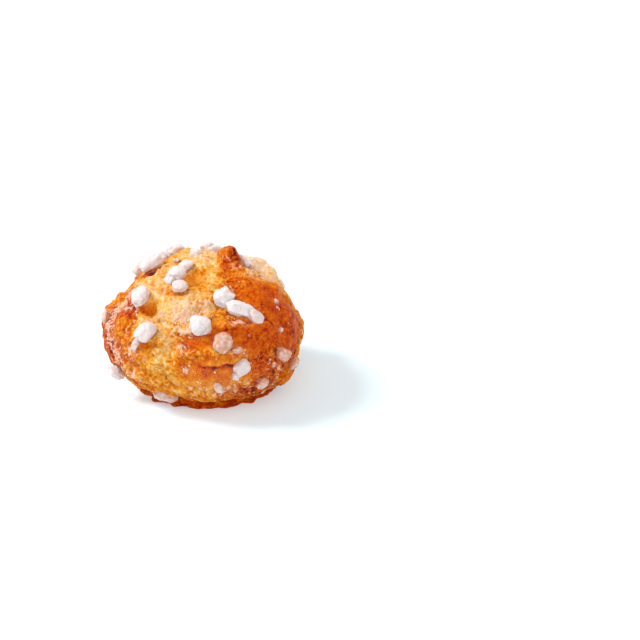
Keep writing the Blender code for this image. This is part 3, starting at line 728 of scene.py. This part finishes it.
def crust_point(way):
    """The crust's surface, in mm, along a unit vector from the belt's middle."""
    return raised(ground_at(core_point(way)))


def grain_lift(grain):
    """How far a grain's middle stands off the crust."""
    return grain.width * GRAIN_THICKNESS * (0.5 - GRAIN_SUNK) + grain.lift


def seat_of(grain):
    """The crust's point on which a grain of the front lies, so that its middle is seen at its place."""
    goal = Vector((grain.across, grain.up))
    aim = goal.copy()
    for _ in range(AIM_STEPS):
        point = crust_point(way_seen_at(*aim))
        aim += (goal - place_of(point + core_normal(point) * grain_lift(grain))) * AIM_SHARE
    return point


def grain_point(way, grain, kind):
    """A grain's surface, in mm from its middle, along a unit vector. X is its length and Z its thickness."""
    half = Vector((grain.length, grain.width, grain.width * GRAIN_THICKNESS)) / 2
    block = sum(abs(share) ** GRAIN_BLOCKINESS for share in way) ** (-1 / GRAIN_BLOCKINESS)
    height, spacing = GRAIN_LUMPS
    block *= 1.0 + height * noise.noise(way / spacing + kind)
    return way * half * block


def grain_axes(point, grain):
    """Where a grain that lies on the crust's point sits, and how it is turned, as one matrix in mm."""
    normal = core_normal(point)
    right = right_of(normal)
    turn = math.radians(grain.turn)
    along = right * math.cos(turn) + normal.cross(right) * math.sin(turn)
    axes = Matrix((along, normal.cross(along), normal)).transposed().to_4x4()
    return Matrix.Translation(point + normal * grain_lift(grain)) @ axes


def strewn_grains(draw):
    """(point, grain) of the grains that the front doesn't show, kept apart from each other."""
    laid = []
    while len(laid) < STREWN_GRAINS:
        turn = draw.uniform(0, math.tau)
        lift = draw.uniform(-1, 1)
        flat = math.sqrt(1 - lift * lift)
        way = Vector((math.cos(turn) * flat, math.sin(turn) * flat, lift))
        length = draw.uniform(*STREWN_LENGTH)
        grain = Grain(0, 0, length, length * draw.uniform(*NARROWNESS), draw.uniform(0, 360))
        chance = draw.random()
        paired = draw.random() < PAIRED_SHARE
        shrunk = draw.uniform(*PAIRED_SIZE)
        point = crust_point(way)
        seen = facing_view(point) > STREWN_SEEN
        reach = STREWN_GAP + length
        crowded = any((point - other).length < reach for other, _ in laid)
        if seen or crowded or chance > eased(*STREWN_HEIGHTS, point.z):
            continue
        laid.append((point, grain))
        if paired:
            along = grain_axes(point, grain).col[0].to_3d()
            next_to = (point + along * length * PAIRED_REACH - BELT_MIDDLE).normalized()
            turned = grain.turn + PAIRED_TURN
            smaller = Grain(0, 0, length * shrunk, grain.width * shrunk, turned, PAIRED_LIFT)
            laid.append((crust_point(next_to), smaller))
    return laid


def all_grains():
    """(point, grain, kind) of every grain; the kind tells its lumps apart from the others'."""
    draw = random.Random(SEED)
    laid = [(seat_of(grain), grain) for grain in FRONT_GRAINS]
    laid += strewn_grains(draw)
    return [(point, grain, Vector((number * KIND_STEP, 0, 0))) for number, (point, grain) in enumerate(laid)]


def cells(point, spacing):
    """(distance to the nearest point of a strewn set, gap to the next, the nearest point), in spacings."""
    distances, places = noise.voronoi(point / spacing)
    return distances[0], distances[1] - distances[0], places[0]


def between(low, high, share):
    """The number that lies a share of the way from low to high."""
    return low + (high - low) * share


def creases(core, wrinkled):
    """(rise in mm, rise as a share of the highest, bent point) of the creases at a point of the core."""
    patchy = eased(*CREASE_RANGE, noise.noise(core / CREASE_PATCH + Vector(CREASE_OFFSET)))
    strength = wrinkled * between(CREASES_OFF_PATCH, 1.0, patchy)
    height, spacing = CREASE_BEND
    bent = core + noise.noise_vector(core / spacing) * height
    rise = 0.0
    for height, spacing in CREASES:
        rise += height * (0.5 - min(abs(noise.noise(bent / spacing)) * CREASE_SHARPNESS, 1.0))
    return rise * strength, rise / sum(height for height, _ in CREASES) * strength, bent


def bubble(core, wrinkled):
    """Rise of the small round bubbles of the skin, each with a size of its own. Some places have none."""
    height, spacing = BUBBLE
    near, _, place = cells(core, spacing)
    chance = noise.cell(place * BUBBLE_DRAW_STEP)
    if chance <= BUBBLES_LEFT_OUT:
        return 0.0
    size = between(*BUBBLE_SIZES, chance**2)
    return height * math.sqrt(max(1.0 - (near / size) ** 2, 0.0)) * wrinkled * size / BUBBLE_SIZES[1]


def bands(ground):
    """(slot, fold, brow, shade): how much of a point lies in each, from 0 to 1."""
    slot = fold = brow = shade = 0.0
    for share, line in ground.lines:
        if line.rise > 0:
            fold = max(fold, share)
        elif line.rise < SLOT_RISE and line.width < SLOT_WIDTH:
            slot = max(slot, share)
    for off, kept, _ in ground.edges:
        brow = max(brow, kept * math.exp(-(((off - BROW_OFF) / BAND_WIDTH) ** 2)))
        shade = max(shade, kept * math.exp(-(((off - SHADE_OFF) / BAND_WIDTH) ** 2)))
    return slot, fold, brow, shade


def baked(ground, front):
    """The tone that the skin is baked to, without its fine relief: laid out in front, by rule elsewhere."""
    strength, spacing = TONE_PATCH
    by_rule = TONE_MIDDLE + strength * noise.noise(ground.core / spacing + Vector(TONE_OFFSET))
    strength, spacing = TONE_SPOT
    by_rule += TONE_CALM * (ground.calm - 0.5) + strength * noise.noise(ground.core / spacing)
    by_rule = by_rule * (1.0 - ground.inside) + TEAR_TONE * ground.inside
    weights = [within(ground.bent, each) for each in PLACED_TONES]
    laid = sum(weight * each[-1].bake for weight, each in zip(weights, PLACED_TONES))
    laid = (laid + TONE_MIDDLE * MIDDLE_WEIGHT) / (sum(weights) + MIDDLE_WEIGHT)
    return laid * front + by_rule * (1.0 - front)


def skin(ground):
    """The crust's fine relief and its looks at a point of the core, as a dictionary of numbers."""
    core = ground.core
    front = eased(*TONE_FACING, ground.facing)
    wrinkled = between(1.0, CREASES_CALM, ground.calm)
    fine, crinkle, bent = creases(core, wrinkled)
    fine += bubble(core, wrinkled)
    slot, fold, brow, shade = bands(ground)
    tone = baked(ground, front)

    height, spacing = KNOB
    near, _, _ = cells(bent, spacing)
    torn = (1.0 - eased(*TORN_TONE, tone)) * wrinkled
    knob = CELL_MIDDLE - near
    fine += height * knob * torn

    # Painted shade under edges and in crease and knob hollows; painted highlight on brows, folds, ridges and
    # knob tops.
    tone += (
        PAINTED_SHADE_UNDER_EDGE * shade
        + PAINTED_HIGHLIGHT_ON_BROW * brow
        + PAINTED_HIGHLIGHT_ON_FOLD * fold
        + PAINTED_LIGHT_ON_CRINKLE * crinkle
        + PAINTED_LIGHT_ON_KNOB * knob * torn
    )
    # Slots turn nearly black: partly burnt crust, partly painted shade inside them.
    tone = between(tone, SLOT_BURNT_AND_SHADED_TONE, slot)

    dust = sum(each[-1].amount * within(ground.bent, each) for each in PLACED_DUSTINGS) * front
    by_rule = eased(*DUST_RANGE, noise.noise(core / DUST_PATCH + Vector(DUST_OFFSET)))
    dust += DUST_ELSEWHERE * by_rule * (1.0 - front)
    # Dust on brows, which also stands in for painted highlight on these top edges.
    dust = max(dust + BROW_DUST_AND_HIGHLIGHT * brow * wrinkled, 0.0)
    # The fleck share: partly sugar flecks, partly painted glints on wrinkles and on the ridges of creases.
    fleck_and_glint_share = dust * (1.0 - FLECKS_LOST_CALM * ground.calm) + wrinkled * (FLECKS_ON_WRINKLES + FLECKS_AND_GLINTS_ON_RIDGES * crinkle)
    return {"fine": fine, "calm": ground.calm, "tone": tone, "fleck_and_glint_share": min(fleck_and_glint_share, 1.0), "dust": min(dust, 1.0)}


def tip_tone_with_shade(core):
    """The tone of the tip at a point of the core, browner to its right: its bake and painted shade on that
    side.
    """
    return between(*TIP_TONES_WITH_SHADE, eased(*TIP_TONE_RANGE, core.x - TIP_FOOT.x))


def sphere_grid(count):
    """A cube with a grid on each face, rounded into a sphere with even faces."""
    data = bmesh.new()
    bmesh.ops.create_cube(data, size=2.0)
    bmesh.ops.subdivide_edges(data, edges=data.edges[:], cuts=count - 1, use_grid_fill=True)
    for vertex in data.verts:
        vertex.co = Vector([math.tan(size * math.pi / 4) for size in vertex.co]).normalized()
    return data


def mesh_object(name, data, layers=(), values=()):
    """An object of a bmesh, shaded smooth, with a point attribute for each layer of values."""
    mesh = bpy.data.meshes.new(name)
    data.to_mesh(mesh)
    data.free()
    for layer in layers:
        attribute = mesh.attributes.new(layer, "FLOAT", "POINT")
        attribute.data.foreach_set("value", [value[layer] for value in values])
    mesh.shade_smooth()
    added = bpy.data.objects.new(name, mesh)
    bpy.context.scene.collection.objects.link(added)
    return added


def make_crust(grains):
    """The puff's whole skin, with its relief as geometry down to half a millimetre."""
    near = KDTree(len(grains))
    for number, (point, _, _) in enumerate(grains):
        near.insert(point, number)
    near.balance()
    data = sphere_grid(CRUST_GRID)
    values = []
    for vertex in data.verts:
        ground = ground_at(core_point(vertex.co.normalized()))
        value = skin(ground)
        point = raised(ground, value["fine"])
        foot = 1.0 - eased(FOOT_HEIGHT - FOOT_STEP, FOOT_HEIGHT + FOOT_TONE_STEP, point.z)
        tip = eased(0.0, TIP_TONE_EDGE, tip_share(ground.core))
        value["tone"] = between(value["tone"], FOOT_TONE, foot)
        # The tip's tone is darker to its right, partly its bake and partly painted shade on its right face.
        value["tone"] = between(value["tone"], tip_tone_with_shade(ground.core), tip)
        value["calm"] = between(value["calm"], FOOT_CALM, foot)
        value["fleck_and_glint_share"] *= 1.0 - FLECKS_LOST_FOOT * foot
        _, number, reach = near.find(point)
        off_grain = max(reach - grains[number][1].width / 2, 0.0)
        value["dust"] = max(value["dust"], HALO_DUST * math.exp(-((off_grain / HALO_WIDTH) ** 2)))
        values.append(value)
        vertex.co = point * MM
    return mesh_object("crust", data, ("calm", "tone", "fleck_and_glint_share", "dust"), values)


def make_grains(grains):
    """Every grain of pearl sugar, as one mesh of separate lumps of pressed crystals."""
    data = bmesh.new()
    values = []
    for point, grain, kind in grains:
        levels = LARGE_GRAIN_LEVELS if grain.length > LARGE_GRAIN else SMALL_GRAIN_LEVELS
        axes = grain_axes(point, grain)
        made = bmesh.ops.create_icosphere(data, subdivisions=levels, radius=1.0)
        for vertex in made["verts"]:
            way = vertex.co.normalized()
            spot = grain_point(way, grain, kind)
            height, spacing = NIB_BUMP
            near, _, _ = cells(spot + kind, spacing)
            rough = height * (CELL_MIDDLE - near)
            height, spacing = NIB_GRIT
            rough += height * noise.noise(spot / spacing + kind)
            values.append({"melt": grain.melt, "height": spot.z / (grain.width * GRAIN_THICKNESS / 2)})
            vertex.co = axes @ (spot + way * rough) * MM
    return mesh_object("sugar_nibs", data, ("melt", "height"), values)


def make_crystals(crust):
    """Small crystals of sugar, lying in clumps where the crust is dusted."""
    draw = random.Random(SEED + 1)
    mesh = crust.data
    dust = [each.value for each in mesh.attributes["dust"].data]
    data = bmesh.new()
    for _ in range(CRYSTAL_CLUMPS):
        vertex = mesh.vertices[draw.randrange(len(mesh.vertices))]
        while draw.random() > dust[vertex.index] ** 2 + CRYSTALS_ANYWHERE or vertex.co.z < FOOT_HEIGHT * MM:
            vertex = mesh.vertices[draw.randrange(len(mesh.vertices))]
        for _ in range(draw.randint(*CLUMP_COUNT)):
            size = draw.triangular(*CRYSTAL_SIZE, CRYSTAL_SIZE[0]) * MM
            off = Vector([draw.gauss(0, CLUMP_SPREAD * MM) for _ in range(3)])
            off -= vertex.normal * off.dot(vertex.normal)
            angle = draw.uniform(0, math.tau)
            turn = Matrix.Rotation(angle, 3, Vector([draw.gauss(0, 1) for _ in range(3)]))
            stretch = Vector([draw.uniform(*CRYSTAL_STRETCH) for _ in range(3)])
            chip = bmesh.ops.create_icosphere(data, subdivisions=1, radius=0.5)
            for corner in chip["verts"]:
                corner.co *= draw.uniform(*CRYSTAL_UNEVEN)
                corner.co = vertex.co + off + turn @ (corner.co * stretch) * size
    return mesh_object("sugar_crystals", data)


def linear(red, green, blue):
    """A colour given as 0 to 255 in sRGB, as linear numbers."""
    shares = [share / 255 for share in (red, green, blue)]
    return tuple(s / 12.92 if s <= 0.04045 else ((s + 0.055) / 1.055) ** 2.4 for s in shares) + (1.0,)


class Material:
    """A material's node tree, with one short call for each kind of node used here."""

    def __init__(self, name):
        self.data = bpy.data.materials.new(name)
        self.data.use_nodes = True
        self.nodes = self.data.node_tree.nodes
        self.shader = self.nodes["Principled BSDF"]
        self.place = self.nodes.new("ShaderNodeTexCoord").outputs["Object"]

    def plug(self, sockets, given):
        """Links or sets each of the sockets that are given, by name or number."""
        for key, value in given.items():
            if isinstance(value, bpy.types.NodeSocket):
                self.data.node_tree.links.new(value, sockets[key])
            else:
                sockets[key].default_value = value

    def node(self, kind, output, given, **settings):
        """An output of a new node with these settings and inputs."""
        added = self.nodes.new("ShaderNode" + kind)
        for name, value in settings.items():
            setattr(added, name, value)
        self.plug(added.inputs, given)
        return added.outputs[output]

    def layer(self, name):
        return self.node("Attribute", "Fac", {}, attribute_name=name)

    def noise(self, spacing, detail):
        """Noise from 0 to 1, with features as far apart as the spacing, in mm."""
        given = {"Vector": self.place, "Scale": 1 / (spacing * MM), "Detail": detail}
        return self.node("TexNoise", "Fac", given)

    def cells(self, spacing):
        return self.node("TexVoronoi", "Distance", {"Vector": self.place, "Scale": 1 / (spacing * MM)})

    def maths(self, operation, first, second, clamp=False):
        return self.node("Math", 0, {0: first, 1: second}, operation=operation, use_clamp=clamp)

    def remap(self, value, low, high, to_low, to_high):
        given = dict(enumerate((value, low, high, to_low, to_high)))
        return self.node("MapRange", "Result", given)

    def mix(self, share, first, second):
        return self.node("Mix", "Result", {"Factor": share, "A": first, "B": second}, data_type="RGBA")

    def tint(self, share, colours):
        """From the first to the second of two colours given in sRGB."""
        return self.mix(share, *[linear(*each) for each in colours])

    def ramp(self, value, colours):
        ramp = self.nodes.new("ShaderNodeValToRGB")
        self.plug(ramp.inputs, {"Fac": value})
        stops = ramp.color_ramp.elements
        while len(stops) < len(colours):
            stops.new(0.5)
        for stop, (position, colour) in zip(stops, colours):
            stop.position = position
            stop.color = linear(*colour)
        return ramp.outputs["Color"]

    def surface(self, height, distance, given):
        """The material, with its surface raised by up to a distance in mm and the shader's inputs given."""
        normal = self.node("Bump", "Normal", {"Height": height, "Distance": distance * MM})
        self.plug(self.shader.inputs, {"Normal": normal, **given})
        return self.data


def crust_material():
    """Baked dough, brown where baked most, with creases in painted shade and flecks of sugar, syrup and
    painted glints.
    """
    made = Material("choux_crust")
    calm = made.layer("calm")
    rough = made.maths("SUBTRACT", 1.0, calm, clamp=True)
    crease = made.maths("ABSOLUTE", made.maths("SUBTRACT", made.noise(*CREASE_LINE), 0.5), 0.0)
    crease = made.remap(crease, *CREASE_LINE_MAP)

    mottle = made.remap(made.noise(*MOTTLE), *MOTTLE_MAP)
    speckle = made.remap(made.noise(*SPECKLE), *SPECKLE_MAP)
    # Crease lines are darkened as painted shade along the grooves that the bump cuts.
    speckle = made.maths("ADD", speckle, made.maths("MULTIPLY", crease, CREASE_LINE_PAINTED_SHADE))
    speckle = made.maths("MULTIPLY", speckle, made.remap(rough, *SPECKLE_ROUGH_MAP))
    tone = made.maths("ADD", made.maths("ADD", made.layer("tone"), mottle), speckle)
    colour = made.ramp(tone, BAKE_COLOURS)

    dust = made.tint(made.noise(*VEIL_MOTTLE), DUST_COLOURS)
    colour = made.mix(made.maths("MULTIPLY", made.layer("dust"), VEIL), colour, dust)
    # Pale flecks of the dust colour, partly sugar and partly painted glints.
    coarse, broad = [
        made.maths("MULTIPLY", made.noise(*each), share) for each, share in zip(FLECKS, FLECK_SHARES)
    ]
    bare = made.remap(made.layer("fleck_and_glint_share"), *FLECK_SHARE_MAP)
    flecks = made.maths("SUBTRACT", made.maths("ADD", coarse, broad), bare)
    flecks = made.maths("MULTIPLY", flecks, FLECK_SHARPNESS, clamp=True)
    cover = made.maths("MULTIPLY", flecks, made.remap(calm, *FLECK_CALM_MAP))
    colour = made.mix(cover, colour, dust)

    cut = made.maths("MULTIPLY", crease, CREASE_LINE_DEPTH)
    height = made.maths("SUBTRACT", made.noise(*CRUST_GRIT), cut)
    height = made.maths("MULTIPLY", height, made.remap(rough, *CRUST_GRIT_MAP))
    height = made.maths("ADD", height, made.maths("MULTIPLY", flecks, FLECK_HEIGHT))
    return made.surface(height, CRUST_BUMP, {
        "Base Color": colour,
        "Roughness": made.remap(calm, *CRUST_ROUGHNESS_MAP),
        "Specular IOR Level": 0.04,
        "Subsurface Weight": 0.10,
        "Subsurface Radius": (1.0, 0.35, 0.12),
        "Subsurface Scale": 1.0 * MM,
    })


def sugar_material():
    """Pressed sugar: syrup clouds where melted, and at each grain's foot syrup and the crust's painted glow.
    """
    made = Material("pearl_sugar")
    melt = made.layer("melt")
    # Low on a grain the colour turns to syrup colour: partly syrup, partly painted glow of the crust through
    # it.
    low = made.remap(made.layer("height"), *LOW_SYRUP_AND_GLOW_MAP)
    cloudy = made.remap(made.noise(*SYRUP_CLOUD), *SYRUP_CLOUD_MAP)
    melted = made.maths("ADD", cloudy, made.maths("MULTIPLY", low, LOW_SYRUP_AND_GLOW_MELTED))
    always = made.maths("MULTIPLY", low, LOW_SYRUP_AND_GLOW_ALWAYS)
    share = made.maths("ADD", made.maths("MULTIPLY", melt, melted), always, clamp=True)
    return made.surface(made.noise(*SUGAR_GRIT), SUGAR_BUMP, {
        "Base Color": made.tint(share, SUGAR_COLOURS),
        "Roughness": made.remap(melt, *SUGAR_ROUGHNESS_MAP),
        "Subsurface Weight": 0.6,
        "Subsurface Radius": (1.0, 0.9, 0.85),
        "Subsurface Scale": 0.9 * MM,
    })


def crystal_material():
    """Clear sugar with small facets, a little stained."""
    made = Material("sugar_crystal")
    return made.surface(made.cells(CRYSTAL_FACETS), CRYSTAL_BUMP, {
        "Base Color": made.tint(made.noise(*CRYSTAL_CLOUD), CRYSTAL_COLOURS),
        "Roughness": 0.3,
        "Subsurface Weight": 0.4,
        "Subsurface Radius": (1.0, 0.8, 0.7),
        "Subsurface Scale": 0.5 * MM,
    })


def floor_material():
    """A matt floor, near white, that glows a little so that its shadows stay pale."""
    made = Material("pale_floor")
    made.plug(made.shader.inputs, {
        "Base Color": made.tint(made.noise(*FLOOR_CLOUD), FLOOR_COLOURS),
        "Emission Color": (1.0, 1.0, 1.0, 1.0),
        "Emission Strength": FLOOR_GLOW,
        "Roughness": 0.9,
        "Specular IOR Level": 0.1,
    })
    return made.data


def make_floor():
    """A wide round floor at the height of the puff's base."""
    data = bmesh.new()
    bmesh.ops.create_circle(data, cap_ends=True, segments=FLOOR_SIDES, radius=FLOOR_RADIUS)
    floor = mesh_object("floor", data)
    floor.data.materials.append(floor_material())


def make_camera():
    """The camera stands at the point that the front is laid out from, and looks square at its plane."""
    data = bpy.data.cameras.new("camera")
    data.lens = LENS
    data.sensor_width = SENSOR
    data.clip_start, data.clip_end = CLIP
    camera = bpy.data.objects.new("camera", data)
    camera.location = VIEWPOINT * MM
    camera.rotation_euler = AHEAD.to_track_quat("-Z", "Y").to_euler()
    bpy.context.scene.collection.objects.link(camera)
    bpy.context.scene.camera = camera
    bpy.context.scene.view_settings.view_transform = "Standard"


def make_lights():
    """A key from the left, a wide fill from the front and a weak rim light from behind. The rim light
    falls on the pieces of the collection that is returned, and shows in no reflection."""
    lit = bpy.data.collections.new("lit_by_rim")
    middle = BELT_MIDDLE * MM
    for name, way, distance, size, power in LAMPS:
        data = bpy.data.lights.new(name, "AREA")
        data.size = size
        data.energy = power
        lamp = bpy.data.objects.new(name, data)
        lamp.location = middle + Vector(way).normalized() * distance
        lamp.rotation_euler = (middle - lamp.location).to_track_quat("-Z", "Y").to_euler()
        bpy.context.scene.collection.objects.link(lamp)
        if name == "rim":
            lamp.light_linking.receiver_collection = lit
            lamp.visible_glossy = False
    return lit


def make_sky():
    """A white surrounding, brightest at the horizon."""
    world = bpy.data.worlds.new("studio")
    world.use_nodes = True
    nodes = world.node_tree.nodes
    links = world.node_tree.links
    way = nodes.new("ShaderNodeTexCoord")
    split = nodes.new("ShaderNodeSeparateXYZ")
    strength = nodes.new("ShaderNodeMapRange")
    links.new(way.outputs["Generated"], split.inputs["Vector"])
    links.new(split.outputs["Z"], strength.inputs["Value"])
    for name, value in zip(("From Min", "From Max", "To Min", "To Max"), SKY_MAP):
        strength.inputs[name].default_value = value
    links.new(strength.outputs["Result"], nodes["Background"].inputs["Strength"])
    nodes["Background"].inputs["Color"].default_value = SKY_COLOUR
    bpy.context.scene.world = world


def main():
    make_camera()
    make_sky()
    lit = make_lights()
    make_floor()
    grains = all_grains()

    crust = make_crust(grains)
    crust.data.materials.append(crust_material())
    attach(crust, "root")
    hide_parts("chouquette")

    nibs = make_grains(grains)
    nibs.data.materials.append(sugar_material())
    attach(nibs, "root")

    crystals = make_crystals(crust)
    crystals.data.materials.append(crystal_material())
    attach(crystals, "root")

    for piece in (crust, nibs, crystals):
        lit.objects.link(piece)


main()
